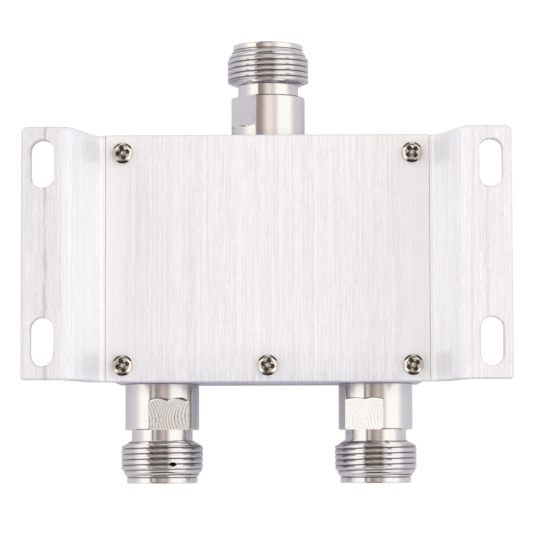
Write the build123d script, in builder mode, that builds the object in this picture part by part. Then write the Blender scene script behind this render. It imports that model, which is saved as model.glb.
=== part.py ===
"""Two-way radio-frequency power splitter: an aluminium housing with mounting ears and three N jacks.

The splitter lies on its flat front face with the lid up. +Z points out of the lid, +Y is the
input end, +X runs along the row of output jacks. The origin is the middle of the front face.
All sizes are in millimetres.
"""
import os
from math import cos, radians, sin, tan

from build123d import *

# Housing body, a length of extrusion with a milled pocket
housing_length = 47.0
body_half_width = 29.7
body_depth = 27.6
front_corner_radius = 6.0
side_wall = 4.5
end_wall = 6.5
pocket_corner_radius = 3.0

# Mounting ears, part of the same extrusion
ear_rise = 14.3
ear_width = 9.391
ear_thickness = 2.8
wall_foot_reach = 2.1
wall_lean = 16.4
ear_bend_radius = 3.5
wall_foot_radius = 0.8
flange_root_radius = 1.0
ear_edge_radius = 0.4
ear_input_corner = 1.2
ear_output_corner = 0.5

# Slots through the ears
slot_width = 4.3
slot_length = 9.0
slot_side_inset = 3.9
slot_end_inset = 7.0

# Lid plate, let into the open side of the body
lid_shoulder = 1.0
lid_thickness = 1.5
lid_edge_break = 0.15
lid_side_clearance = 0.05

# Cross-recessed screws
screw_radius = 1.0
screw_head_radius = 1.975
screw_head_height = 1.35
screw_shoulder = 0.5
recess_span = 2.3
recess_width = 0.62
recess_depth = 0.8
thread_clearance = 0.03
hole_clearance = 0.2
tap_spare_depth = 1.0
lid_screw_side_inset = 2.2
lid_screw_input_inset = 3.5
lid_screw_output_inset = 3.1
lid_screw_grip = 5.0
board_screw_grip = 4.0

# Places of the three jacks: one input, two outputs
jack_axis_depth = 15.0
output_side_inset = 8.95
input_flat_turn = -52.0
output_left_flat_turn = 12.0
output_right_flat_turn = -23.0

# Jack shell, sizes measured outwards from the housing's end face
hub_radius = 7.175
hub_length = 8.95
hub_edge_break = 0.2
flat_half_width = 6.0
flat_length = 5.9
neck_radius = 5.9
neck_length = 1.87
back_chamfer = 1.22
thread_radius = 7.94
thread_length = 4.34
lead_in_length = 1.8
lead_in_radius = 7.03
rim_radius = 6.88
rim_length = 1.1
rim_edge_break = 0.25
shank_radius = 6.0
shank_setback = 0.2

# Small oval pit in the thread of the left output jack
pit_length = 1.4
pit_width = 0.7
pit_depth = 1.0
pit_turn = 18.0
pit_from_crest_start = 3.55

# Jack bore, sizes measured inwards from the mouth
mouth_radius = 4.95
bore_radius = 4.05
bore_depth = 9.1
air_line_radius = 3.5
air_line_length = 1.2
insulator_radius = 4.1

# Centre contact
socket_radius = 1.52
socket_length = 5.0
socket_hole_radius = 0.85
socket_hole_depth = 4.5
socket_slot_width = 0.3
socket_slot_length = 3.8
socket_edge_break = 0.25
contact_core_radius = 1.225
pin_radius = 0.65
pin_reach = 2.6

# Circuit board with its copper
board_side_clearance = 0.3
board_thickness = 0.8
copper_thickness = 0.07
copper_setback = 0.3
feed_width = 1.5
section_widths = (0.6, 0.8, 1.1)
junction_inset = 6.1
feed_turn_inset = 7.2
turn_x = 10.4
section_join = 1.7
pad_x = 1.25
pad_width = 1.1
feed_bend_radius = 3.0
board_screw_side_inset = 3.9
board_screw_input_inset = 4.2
board_screw_middle_x = 12.5
board_screw_output_inset = 3.1

# Chip resistors between the two arms
resistor_length = 2.0
resistor_width = 1.25
resistor_height = 0.5
resistor_edge_break = 0.08

# Solder over each pin
solder_radius = 1.1
solder_top_radius = 0.75
solder_height = 1.6

# Heights and widths that follow from the sizes above
half_length = housing_length / 2
ear_top = body_depth + ear_rise
ear_under = ear_top - ear_thickness
flange_under = body_depth - ear_thickness
wall_run = tan(radians(wall_lean))
wall_offset = ear_thickness / cos(radians(wall_lean))
wall_foot_half = body_half_width + wall_foot_reach
wall_top_half = wall_foot_half + ear_rise * wall_run
ear_half_span = wall_top_half + ear_width
outer_foot_half = wall_foot_half + wall_offset - ear_thickness * wall_run
outer_top_half = outer_foot_half + ear_rise * wall_run
outer_foot_radius = wall_foot_radius + ear_thickness
inner_ear_radius = ear_bend_radius - ear_thickness
slot_half_span = ear_half_span - slot_side_inset
slot_half_pitch = half_length - slot_end_inset
lid_half_width = wall_foot_half - lid_shoulder
lid_seat = body_depth - lid_thickness
pocket_half_width = body_half_width - side_wall
pocket_half_length = half_length - end_wall

jack_axis = body_depth - jack_axis_depth
output_half_pitch = body_half_width - output_side_inset
shank_length = end_wall - shank_setback
track_top = jack_axis - pin_radius
board_top = track_top - copper_thickness
board_under = board_top - board_thickness
pocket_floor = board_under - copper_thickness
board_half_width = pocket_half_width - board_side_clearance
board_half_length = pocket_half_length - board_side_clearance

thread_start = hub_length + neck_length
crest_start = thread_start + back_chamfer
crest_end = crest_start + thread_length
lead_in_end = crest_end + lead_in_length
mouth = lead_in_end + rim_length
contact_plane = mouth - bore_depth
insulator_front = contact_plane - air_line_length
socket_tip = contact_plane + socket_length

lid_screw_x = body_half_width - lid_screw_side_inset
lid_screw_input_y = half_length - lid_screw_input_inset
lid_screw_output_y = lid_screw_output_inset - half_length
lid_screw_places = [
    (-lid_screw_x, lid_screw_input_y),
    (lid_screw_x, lid_screw_input_y),
    (-lid_screw_x, lid_screw_output_y),
    (0, lid_screw_output_y),
    (lid_screw_x, lid_screw_output_y),
]
board_screw_side_x = board_half_width - board_screw_side_inset
board_screw_input_y = board_half_length - board_screw_input_inset
board_screw_output_y = board_screw_output_inset - board_half_length
board_screw_places = [
    (-board_screw_side_x, board_screw_input_y),
    (board_screw_side_x, board_screw_input_y),
    (-board_screw_middle_x, board_screw_output_y),
    (board_screw_middle_x, board_screw_output_y),
]


def jack_seat(x, outward, flat_turn):
    """Plane on the housing's end face: z points out of the jack, x at one wrench flat."""
    turn = radians(flat_turn)
    return Plane(
        origin=(x, outward * half_length, jack_axis),
        x_dir=(sin(turn), 0, cos(turn)),
        z_dir=(0, outward, 0),
    )


def jack_section(seat):
    """Plane that holds the jack's axis: x is the radius, y is the distance out of the housing."""
    return Plane(origin=seat.origin, x_dir=seat.x_dir, z_dir=-seat.y_dir)


def jack_line(seat):
    """Axis of the jack."""
    return Axis(seat.origin, seat.z_dir)


jack_seats = {
    "input_jack": jack_seat(0, 1, input_flat_turn),
    "output_left_jack": jack_seat(-output_half_pitch, -1, output_left_flat_turn),
    "output_right_jack": jack_seat(output_half_pitch, -1, output_right_flat_turn),
}

os.makedirs("parts", exist_ok=True)


# Housing: the extruded section with its ears
with BuildPart() as housing:
    with BuildSketch(Plane.XZ):
        with BuildLine():
            FilletPolyline(
                (0, 0),
                (body_half_width, 0),
                (body_half_width, flange_under),
                (outer_foot_half, flange_under),
                (outer_top_half, ear_under),
                (ear_half_span, ear_under),
                (ear_half_span, ear_top),
                (wall_top_half, ear_top),
                (wall_foot_half, body_depth),
                (0, body_depth),
                radius=[
                    front_corner_radius,
                    flange_root_radius,
                    outer_foot_radius,
                    inner_ear_radius,
                    ear_edge_radius,
                    ear_edge_radius,
                    ear_bend_radius,
                    wall_foot_radius,
                ],
            )
            mirror(about=Plane.YZ)
        make_face()
    extrude(amount=half_length, both=True)

    # Ear corners, rounder at the input end
    input_corners = housing.edges().filter_by(Axis.Z).group_by(Axis.Y)[-1].sort_by(Axis.X)
    fillet((input_corners[0], input_corners[-1]), ear_input_corner)
    output_corners = housing.edges().filter_by(Axis.Z).group_by(Axis.Y)[0].sort_by(Axis.X)
    fillet((output_corners[0], output_corners[-1]), ear_output_corner)

    # Step that takes the lid
    with BuildSketch(Plane.XY.offset(lid_seat)):
        Rectangle(2 * (lid_half_width + lid_side_clearance), housing_length)
    extrude(amount=lid_thickness, mode=Mode.SUBTRACT)

    # Pocket for the circuit
    with BuildSketch(Plane.XY.offset(lid_seat)):
        RectangleRounded(2 * pocket_half_width, 2 * pocket_half_length, pocket_corner_radius)
    extrude(amount=pocket_floor - lid_seat, mode=Mode.SUBTRACT)

    # Slots through the ears
    with BuildSketch(Plane.XY.offset(ear_top)):
        with GridLocations(2 * slot_half_span, 2 * slot_half_pitch, 2, 2):
            SlotOverall(slot_length, slot_width, rotation=90)
    extrude(amount=-2 * ear_thickness, mode=Mode.SUBTRACT)

    # Tapped holes for the lid screws and the board screws
    with Locations(Plane.XY.offset(lid_seat)):
        with Locations(*lid_screw_places):
            Hole(screw_radius, lid_screw_grip + tap_spare_depth)
    with Locations(Plane.XY.offset(pocket_floor)):
        with Locations(*board_screw_places):
            Hole(screw_radius, board_screw_grip + tap_spare_depth)

    # Tapped holes through the end walls for the jacks
    for seat in jack_seats.values():
        with BuildSketch(seat):
            Circle(shank_radius + thread_clearance)
        extrude(amount=-end_wall, mode=Mode.SUBTRACT)
housing.part.label = "housing"
export_step(housing.part, "parts/housing.step")

# Lid: a flat plate, flush with the body at its sides and ends
with BuildPart() as lid:
    with BuildSketch(Plane.XY.offset(lid_seat)):
        Rectangle(2 * lid_half_width, housing_length)
        with Locations(*lid_screw_places):
            Circle(screw_radius + hole_clearance, mode=Mode.SUBTRACT)
    extrude(amount=lid_thickness)
    top_rim = lid.faces().sort_by(Axis.Z)[-1].outer_wire().edges()
    chamfer(top_rim, lid_edge_break)
lid.part.label = "lid"
export_step(lid.part, "parts/lid.step")


def pan_head_screw(length):
    """Cross-recessed pan head screw, its head seated on the XY plane and its shank below."""
    with BuildPart() as screw:
        with BuildSketch(Plane.XZ):
            with BuildLine():
                Polyline(
                    (0, -length),
                    (screw_radius - thread_clearance, -length),
                    (screw_radius - thread_clearance, 0),
                    (screw_head_radius, 0),
                    (screw_head_radius, screw_head_height - screw_shoulder),
                    (screw_head_radius - screw_shoulder, screw_head_height),
                    (0, screw_head_height),
                    close=True,
                )
            make_face()
        revolve(axis=Axis.Z)
        with BuildSketch(Plane.XY.offset(screw_head_height)):
            Rectangle(recess_span, recess_width)
            Rectangle(recess_width, recess_span)
        extrude(amount=-recess_depth, mode=Mode.SUBTRACT)
    return screw.part


# Five screws hold the lid
lid_screw = pan_head_screw(lid_thickness + lid_screw_grip)
with BuildPart() as lid_screws:
    with Locations(Plane.XY.offset(body_depth)):
        with Locations(*lid_screw_places):
            add(lid_screw)
lid_screws.part.label = "lid_screws"
export_step(lid_screws.part, "parts/lid_screws.step")


def thread_pit_plane(seat):
    """Plane on the thread's crest where the pit is, facing out of the thread."""
    turn = radians(pit_turn)
    outward = Vector(sin(turn), 0, cos(turn))
    middle = seat.offset(crest_start + pit_from_crest_start).origin + outward * thread_radius
    return Plane(origin=middle, x_dir=outward.cross(seat.z_dir), z_dir=outward)


def jack_shell(seat, pitted):
    """Turned body of a jack: hub with wrench flats, neck, threaded sleeve and stepped bore."""
    with BuildPart() as shell:
        with BuildSketch(jack_section(seat)):
            with BuildLine():
                Polyline(
                    (insulator_radius, -shank_length),
                    (shank_radius, -shank_length),
                    (shank_radius, 0),
                    (hub_radius, 0),
                    (hub_radius, hub_length - hub_edge_break),
                    (hub_radius - hub_edge_break, hub_length),
                    (neck_radius, hub_length),
                    (neck_radius, thread_start),
                    (thread_radius, crest_start),
                    (thread_radius, crest_end),
                    (lead_in_radius, lead_in_end),
                    (rim_radius, lead_in_end),
                    (rim_radius, mouth - rim_edge_break),
                    (rim_radius - rim_edge_break, mouth),
                    (mouth_radius, mouth),
                    (bore_radius, mouth - (mouth_radius - bore_radius)),
                    (bore_radius, contact_plane),
                    (air_line_radius, contact_plane),
                    (air_line_radius, insulator_front),
                    (insulator_radius, insulator_front),
                    close=True,
                )
            make_face()
        revolve(axis=jack_line(seat))
        with BuildSketch(seat.offset(hub_length)):
            Rectangle(2 * hub_radius, 2 * hub_radius)
            Rectangle(2 * flat_half_width, 2 * hub_radius, mode=Mode.SUBTRACT)
        extrude(amount=-flat_length, mode=Mode.SUBTRACT)
        if pitted:
            with BuildSketch(thread_pit_plane(seat)):
                SlotOverall(pit_length, pit_width)
            extrude(amount=-pit_depth, mode=Mode.SUBTRACT)
    return shell


def jack_insulator(seat):
    """Plastic sleeve pressed into the shell from behind."""
    with BuildPart() as insulator:
        with BuildSketch(seat.offset(-shank_length)):
            Circle(insulator_radius)
            Circle(contact_core_radius, mode=Mode.SUBTRACT)
        extrude(amount=insulator_front + shank_length)
    return insulator


def jack_contact(seat):
    """Slotted spring socket in front, core through the insulator, solder pin behind."""
    with BuildPart() as contact:
        with BuildSketch(jack_section(seat)):
            with BuildLine():
                Polyline(
                    (0, -shank_length - pin_reach),
                    (pin_radius, -shank_length - pin_reach),
                    (pin_radius, -shank_length),
                    (contact_core_radius, -shank_length),
                    (contact_core_radius, insulator_front),
                    (socket_radius, insulator_front),
                    (socket_radius, socket_tip - socket_edge_break),
                    (socket_radius - socket_edge_break, socket_tip),
                    (socket_hole_radius, socket_tip),
                    (socket_hole_radius, socket_tip - socket_hole_depth),
                    (0, socket_tip - socket_hole_depth),
                    close=True,
                )
            make_face()
        revolve(axis=jack_line(seat))
        with BuildSketch(seat.offset(socket_tip)):
            Rectangle(2 * socket_radius, socket_slot_width)
            Rectangle(socket_slot_width, 2 * socket_radius)
        extrude(amount=-socket_slot_length, mode=Mode.SUBTRACT)
    return contact


def pin_solder(seat):
    """Bead of solder that straddles a pin and sits on the copper under it."""
    middle = seat.offset(-shank_length - pin_reach + solder_radius).origin
    with BuildPart() as solder:
        with Locations((middle.X, middle.Y, track_top)):
            Cone(
                solder_radius,
                solder_top_radius,
                solder_height,
                align=(Align.CENTER, Align.CENTER, Align.MIN),
            )
        with BuildSketch(Plane(origin=middle, x_dir=(1, 0, 0), z_dir=(0, -1, 0))):
            Circle(pin_radius)
            Rectangle(2 * pin_radius, 2 * pin_radius, align=(Align.CENTER, Align.MAX))
        extrude(amount=solder_radius, both=True, mode=Mode.SUBTRACT)
    return solder


# The three jacks, each with its insulator, its contact and the solder on its pin
for jack, seat in jack_seats.items():
    shell = jack_shell(seat, pitted=jack == "output_left_jack")
    shell.part.label = f"{jack}_shell"
    export_step(shell.part, f"parts/{jack}_shell.step")
    insulator = jack_insulator(seat)
    insulator.part.label = f"{jack}_insulator"
    export_step(insulator.part, f"parts/{jack}_insulator.step")
    contact = jack_contact(seat)
    contact.part.label = f"{jack}_contact"
    export_step(contact.part, f"parts/{jack}_contact.step")
    solder = pin_solder(seat)
    solder.part.label = f"{jack}_solder"
    export_step(solder.part, f"parts/{jack}_solder.step")

# Circuit board substrate
with BuildPart() as circuit_board:
    with BuildSketch(Plane.XY.offset(board_under)):
        RectangleRounded(2 * board_half_width, 2 * board_half_length, pocket_corner_radius)
        with Locations(*board_screw_places):
            Circle(screw_radius + hole_clearance, mode=Mode.SUBTRACT)
    extrude(amount=board_thickness)
circuit_board.part.label = "circuit_board"
export_step(circuit_board.part, "parts/circuit_board.step")

# Copper foil under the board
with BuildPart() as ground_foil:
    with BuildSketch(Plane.XY.offset(pocket_floor)):
        RectangleRounded(2 * board_half_width, 2 * board_half_length, pocket_corner_radius)
        with Locations(*board_screw_places):
            Circle(screw_radius + hole_clearance, mode=Mode.SUBTRACT)
    extrude(amount=copper_thickness)
ground_foil.part.label = "ground_foil"
export_step(ground_foil.part, "parts/ground_foil.step")

# Splitter track: the input line forks into two arms of three quarter-wave loops each
feed_end_y = board_half_length - copper_setback
junction_y = board_half_length - junction_inset
feed_turn_y = feed_turn_inset - board_half_length
section_pitch = (junction_y - feed_turn_y) / len(section_widths)
turn_radius = (section_pitch - section_join) / 2
loop_starts = [junction_y - step * section_pitch for step in range(len(section_widths))]
loop_ends = [start - 2 * turn_radius for start in loop_starts]
with BuildPart() as splitter_track:
    with BuildSketch(Plane.XY.offset(board_top)):
        with BuildLine():
            Line((0, feed_end_y), (0, junction_y - section_widths[0] / 2))
        trace(line_width=feed_width)
        for side in (-1, 1):
            inner_ends = [0] + [side * pad_x] * (len(section_widths) - 1)
            for start, end, width, inner in zip(loop_starts, loop_ends, section_widths, inner_ends):
                with BuildLine():
                    out = Line((inner, start), (side * turn_x, start))
                    tip = (side * (turn_x + turn_radius), start - turn_radius)
                    bend = ThreePointArc(out @ 1, tip, (side * turn_x, end))
                    Line(bend @ 1, (side * pad_x, end))
                trace(line_width=width)
                with Locations((side * pad_x, end - section_join / 2)):
                    Rectangle(pad_width, section_join + width)
            with BuildLine():
                FilletPolyline(
                    (side * pad_x, feed_turn_y),
                    (side * output_half_pitch, feed_turn_y),
                    (side * output_half_pitch, -feed_end_y),
                    radius=feed_bend_radius,
                )
            trace(line_width=feed_width)
    extrude(amount=copper_thickness)
splitter_track.part.label = "splitter_track"
export_step(splitter_track.part, "parts/splitter_track.step")

# One chip resistor across the two arms at the end of each loop
for number, end in enumerate(loop_ends, start=1):
    with BuildPart() as isolation_resistor:
        with BuildSketch(Plane.XY.offset(track_top)):
            with Locations((0, end - section_join / 2)):
                Rectangle(resistor_length, resistor_width)
        extrude(amount=resistor_height)
        chamfer(isolation_resistor.faces().sort_by(Axis.Z)[-1].edges(), resistor_edge_break)
    isolation_resistor.part.label = f"isolation_resistor_{number}"
    export_step(isolation_resistor.part, f"parts/isolation_resistor_{number}.step")

# Four screws hold the board to the pocket floor
board_screw = pan_head_screw(board_thickness + copper_thickness + board_screw_grip)
with BuildPart() as board_screws:
    with Locations(Plane.XY.offset(board_top)):
        with Locations(*board_screw_places):
            add(board_screw)
board_screws.part.label = "board_screws"
export_step(board_screws.part, "parts/board_screws.step")
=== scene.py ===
# %% [markdown]
# # Dressing a coaxial power splitter
#
# The splitter is a short length of aluminium extrusion with two mounting ears, a brushed lid held
# by five small screws, one threaded N jack at the input end and two at the output end. The solids
# come from the CAD model, already in place and at their real size. This notebook gives them their
# surfaces, and makes again the pieces whose small forms the solids leave out: the turns of the
# threads, the tool marks on the wrench flats and the crowned screw heads.

# %% Load the solids and note their box
from math import acos, atan2, cos, hypot, pi, radians, sin

import bmesh
import bpy
import numpy as np
from mathutils import Matrix, Vector


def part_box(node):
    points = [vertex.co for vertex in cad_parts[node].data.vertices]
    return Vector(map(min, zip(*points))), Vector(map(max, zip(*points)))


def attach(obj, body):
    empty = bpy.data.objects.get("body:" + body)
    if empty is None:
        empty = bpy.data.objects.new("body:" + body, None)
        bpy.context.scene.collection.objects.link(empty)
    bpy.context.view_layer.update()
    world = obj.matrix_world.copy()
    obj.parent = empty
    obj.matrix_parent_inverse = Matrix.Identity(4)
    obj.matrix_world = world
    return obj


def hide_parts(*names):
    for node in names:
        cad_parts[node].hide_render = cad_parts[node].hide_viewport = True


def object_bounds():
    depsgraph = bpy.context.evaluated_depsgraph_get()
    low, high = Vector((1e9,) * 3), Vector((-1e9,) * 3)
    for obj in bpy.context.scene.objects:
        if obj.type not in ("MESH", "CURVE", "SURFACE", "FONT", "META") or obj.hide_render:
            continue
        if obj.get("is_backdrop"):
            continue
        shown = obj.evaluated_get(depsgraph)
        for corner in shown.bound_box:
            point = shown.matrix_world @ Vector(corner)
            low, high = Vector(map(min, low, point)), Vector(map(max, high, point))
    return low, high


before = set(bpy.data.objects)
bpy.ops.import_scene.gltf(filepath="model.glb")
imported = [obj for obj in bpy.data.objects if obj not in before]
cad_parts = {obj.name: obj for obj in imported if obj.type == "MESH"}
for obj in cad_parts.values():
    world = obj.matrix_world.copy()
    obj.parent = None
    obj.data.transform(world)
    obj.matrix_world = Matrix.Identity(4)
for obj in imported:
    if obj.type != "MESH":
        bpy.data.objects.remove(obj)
cad_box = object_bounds()
mm = 0.001
print("CAD nodes:", len(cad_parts))


# %% [markdown]
# ## The camera
#
# The photograph looks almost straight down on the lid from about half a metre, with a long lens.
# The camera stands a little towards the output end, so that the lower end face just shows. Three
# small turns describe it: a tilt towards the input end, a pan to the side and a roll. They could be
# given as Euler angles, but three axes built from the turns show what each one does.

# %% Place the camera
camera_place = Vector((6.2, -38.4, 527.6)) * mm
camera_tilt = radians(4.2)
camera_pan = radians(-0.733)
camera_roll = radians(-0.149)
camera_lens_mm = 178.5
camera_sensor_mm = 36

look = Vector((
    sin(camera_pan) * cos(camera_tilt),
    sin(camera_tilt),
    -cos(camera_pan) * cos(camera_tilt),
))
level_right = Vector((cos(camera_pan), 0, sin(camera_pan)))
level_up = level_right.cross(look)
right = level_right * cos(camera_roll) + level_up * sin(camera_roll)
up = level_up * cos(camera_roll) - level_right * sin(camera_roll)
camera_turn = Matrix((right, up, -look)).transposed().to_4x4()

camera = bpy.data.objects.new("camera", bpy.data.cameras.new("camera"))
camera.data.lens = camera_lens_mm
camera.data.sensor_width = camera_sensor_mm
camera.data.clip_start = 0.01
camera.data.clip_end = 20
camera.matrix_world = Matrix.Translation(camera_place) @ camera_turn
bpy.context.scene.collection.objects.link(camera)
bpy.context.scene.camera = camera
bpy.context.scene.view_settings.view_transform = "Standard"
print("camera above the ears by", round(camera_place.z - cad_box[1][2], 3), "m")


# %% [markdown]
# ## Helpers for node trees
#
# Materials, the world and geometry are all described by node trees. Clicked together they are
# easy to see and hard to read again, so here they are written as sums. One helper adds a node and
# feeds its sockets, from a value or from another node. The rest stand for one node or a few: the
# four rules of arithmetic, a smooth step, a band between two places, and one colour over another.

# %% Node helpers
def add_node(tree, kind, feeds=(), **settings):
    """Add a node, set its properties, and feed its sockets by name or number."""
    node = tree.nodes.new(kind)
    for name, value in settings.items():
        setattr(node, name, value)
    for socket, value in dict(feeds).items():
        target = node.inputs[socket]
        if isinstance(value, bpy.types.NodeSocket):
            tree.links.new(value, target)
        else:
            target.default_value = value
    return node


def calc(tree, operation, *values, clamp=False):
    """One Math node: calc(tree, "ADD", a, b)."""
    feeds = dict(enumerate(values))
    return add_node(tree, "ShaderNodeMath", feeds, operation=operation, use_clamp=clamp).outputs[0]


def times(tree, product, *factors):
    """A product of two or more numbers."""
    for factor in factors:
        product = calc(tree, "MULTIPLY", product, factor)
    return product


def plus(tree, value, added):
    """A sum."""
    return calc(tree, "ADD", value, added)


def minus(tree, value, taken):
    """A difference."""
    return calc(tree, "SUBTRACT", value, taken)


def over(tree, value, divisor, clamp=False):
    """A quotient, held between zero and one if clamp is set."""
    return calc(tree, "DIVIDE", value, divisor, clamp=clamp)


def larger(tree, value, other):
    """The larger of two numbers."""
    return calc(tree, "MAXIMUM", value, other)


def unsigned(tree, value):
    """A number without its sign: the distance from zero."""
    return calc(tree, "ABSOLUTE", value)


def split(tree, vector):
    """The three numbers of a vector."""
    return add_node(tree, "ShaderNodeSeparateXYZ", {0: vector}).outputs[:3]


# %% Helpers for masks and colours
def ramp(tree, value, start, end, low=0.0, high=1.0):
    """A smooth step from low to high while a value goes from start to end."""
    return add_node(tree, "ShaderNodeMapRange", {
        0: value, 1: start, 2: end, 3: low, 4: high}, interpolation_type="SMOOTHSTEP").outputs[0]


def band(tree, value, start, full, full_end, end):
    """One between two places, with a smooth shoulder on each side."""
    return times(tree, ramp(tree, value, start, full), ramp(tree, value, full_end, end, 1.0, 0.0))


def remap(tree, value, low, high, new_low, new_high):
    """A number moved from one range to another, and held inside it."""
    node = add_node(tree, "ShaderNodeMapRange", {0: value, 1: low, 2: high, 3: new_low, 4: new_high})
    return node.outputs[0]


def lay_over(tree, under, cover, mask):
    """One colour laid over another by a mask."""
    node = add_node(tree, "ShaderNodeMix", {0: mask, 6: under, 7: cover}, data_type="RGBA")
    return node.outputs[2]


def tinted(tree, colour, tint, mask):
    """A colour multiplied by a tint where a mask is one."""
    node = add_node(tree, "ShaderNodeMix", {0: mask, 6: colour, 7: tint},
                    data_type="RGBA", blend_type="MULTIPLY")
    return node.outputs[2]


# %% [markdown]
# ## A white table
#
# The background of the photograph is pure white. More light would bleach the part along with the
# table, so the table only looks white to the camera: a glow of its own, and a dark board under it
# that keeps the part's shadow. In mirrors it is nearly white board with a faint cool sheen, and the
# light that it bounces on the part is that of a grey one.

# %% Floor
table_half = 3.0
board_bounced = (0.50, 0.49, 0.56, 1)
board_mirrored = (0.90, 0.91, 0.98, 1)
board_seen = (0.08, 0.08, 0.08, 1)
cool_sheen = (0.6, 0.75, 1.1, 1)


def white_table():
    """The table is white to the eye, keeps the part's shadow, and is pale board in mirrors."""
    material = bpy.data.materials.new("table_white")
    material.use_nodes = True
    tree = material.node_tree
    tree.nodes.clear()
    path = add_node(tree, "ShaderNodeLightPath").outputs
    mirrored = larger(tree, path["Is Glossy Ray"], path["Is Transmission Ray"])
    bounce = add_node(tree, "ShaderNodeBsdfDiffuse", {"Color": board_bounced})
    board = add_node(tree, "ShaderNodeBsdfDiffuse", {"Color": board_mirrored})
    sheen = add_node(tree, "ShaderNodeEmission", {"Color": cool_sheen, "Strength": 0.05})
    lit_board = add_node(tree, "ShaderNodeAddShader", {0: board.outputs[0], 1: sheen.outputs[0]})
    shadow = add_node(tree, "ShaderNodeBsdfDiffuse", {"Color": board_seen})
    glow = add_node(tree, "ShaderNodeEmission", {"Color": (1, 1, 1, 1), "Strength": 0.96})
    white = add_node(tree, "ShaderNodeAddShader", {0: shadow.outputs[0], 1: glow.outputs[0]})
    either = add_node(tree, "ShaderNodeMixShader", {
        0: mirrored, 1: bounce.outputs[0], 2: lit_board.outputs[0]})
    seen = add_node(tree, "ShaderNodeMixShader", {
        0: path["Is Camera Ray"], 1: either.outputs[0], 2: white.outputs[0]})
    add_node(tree, "ShaderNodeOutputMaterial", {"Surface": seen.outputs[0]})
    return material


table_mesh = bpy.data.meshes.new("table")
table_corners = [(-1, -1, 0), (1, -1, 0), (1, 1, 0), (-1, 1, 0)]
table_mesh.from_pydata([Vector(c) * table_half for c in table_corners], [], [(0, 1, 2, 3)])
table_mesh.materials.append(white_table())
table = bpy.data.objects.new("table", table_mesh)
bpy.context.scene.collection.objects.link(table)
table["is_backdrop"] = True
print("table:", 2 * table_half, "m wide")


# %% [markdown]
# ## A studio drawn in the world
#
# The polished jacks mirror the studio. Round metal shows a room in stripes: a white stripe for each
# long soft box, a brown-grey stripe between them for the ceiling where the camera hangs, and the
# table along both edges. Lamps could stand in for the boxes, but their edges are hard and their
# tone is even. Drawn in the world's shader, each stripe gets its own soft edges and its own fade.
# A place on a stripe tells the roll angle of the light that it mirrors: straight up is 0, and the
# table's edge on the right is 90. The room is laid out by that angle and by sky_y, which is 1 at
# its input end and -1 at its output end. The boxes are brightest halfway towards each end and fade
# beyond that, so that the lid keeps its tone when it is seen from low down.

# %% Colours of the studio
ceiling_near = (0.46, 0.40, 0.38, 1)
ceiling_warm = (0.80, 0.71, 0.64, 1)
ceiling_far = (0.38, 0.335, 0.31, 1)
ceiling_edge = (0.13, 0.10, 0.09, 1)
lit_panel = (1.42, 1.28, 1.20, 1)
strip_white = (1.0, 0.97, 0.95, 1)
overhead_box = (1.3, 1.24, 1.215, 1)
room_end = (0.07, 0.06, 0.055, 1)
side_wall = (0.92, 0.92, 1.0, 1)
box_white = (1.52, 1.53, 1.51, 1)
box_far = (2.0, 2.02, 2.04, 1)
box_ends = (1.05, 1.06, 1.07, 1)
horizon = (1.2, 1.19, 1.25, 1)
print("brightest box:", max(box_far), "times white")


# %% Where each part of the studio lies
world = bpy.data.worlds.new("studio")
bpy.context.scene.world = world
world.use_nodes = True
sky = world.node_tree
sky.nodes.clear()
direction = add_node(sky, "ShaderNodeTexCoord").outputs["Generated"]
sky_x, sky_y, sky_z = split(sky, direction)
roll = calc(sky, "DEGREES", calc(sky, "ARCTAN2", sky_x, sky_z))
far_along = unsigned(sky, sky_y)

warm_middle = band(sky, roll, -14, 8, 10, 20)
panel = times(sky, band(sky, roll, -26, 3, 10, 34), band(sky, sky_y, 0.03, 0.11, 0.2, 0.28))
strip = times(sky, band(sky, roll, -32, -28, -25, -16), band(sky, sky_y, -0.2, -0.12, 0.04, 0.09))
far = ramp(sky, far_along, 0.12, 0.3)
box_frames = larger(sky, band(sky, roll, -38, -33, -28, -23), band(sky, roll, 8, 13, 18, 24))
overhead = band(sky, far_along, 0.27, 0.32, 0.46, 0.52)
output_end = ramp(sky, sky_y, -0.72, -0.85)
sideways = times(sky, ramp(sky, sky_z, 0.05, 0.35, 1.0, 0.0), ramp(sky, far_along, 0.6, 0.85, 1.0, 0.0))
left_box = band(sky, roll, -97, -64, -40, -36.5)
right_box = band(sky, roll, 12, 38, 70, 95)
boxes = times(sky, larger(sky, left_box, right_box), band(sky, sky_y, -0.83, -0.74, 0.9, 0.97))
box_light = lay_over(sky, box_white, box_far, ramp(sky, far_along, 0.25, 0.5))
box_light = lay_over(sky, box_light, box_ends, ramp(sky, far_along, 0.54, 0.70))
low_ends = times(sky, ramp(sky, sky_z, 0.32, 0.2), ramp(sky, far_along, 0.55, 0.7))
seen_directly = add_node(sky, "ShaderNodeLightPath").outputs["Is Camera Ray"]
print("nodes for the masks:", len(sky.nodes))


# %% Paint the studio, one part over the other
studio = ceiling_near
for paint, mask in (
    (ceiling_warm, warm_middle),
    (lit_panel, panel),
    (strip_white, strip),
    (ceiling_far, far),
    (ceiling_edge, times(sky, far, box_frames)),
    (overhead_box, overhead),
    (room_end, output_end),
    (side_wall, sideways),
    (box_light, boxes),
    (horizon, low_ends),
    ((1, 1, 1, 1), seen_directly),
):
    studio = lay_over(sky, studio, paint, mask)
background = add_node(sky, "ShaderNodeBackground", {"Color": studio, "Strength": 1.0})
add_node(sky, "ShaderNodeOutputWorld", {"Surface": background.outputs[0]})
print("studio nodes:", len(sky.nodes))


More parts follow.
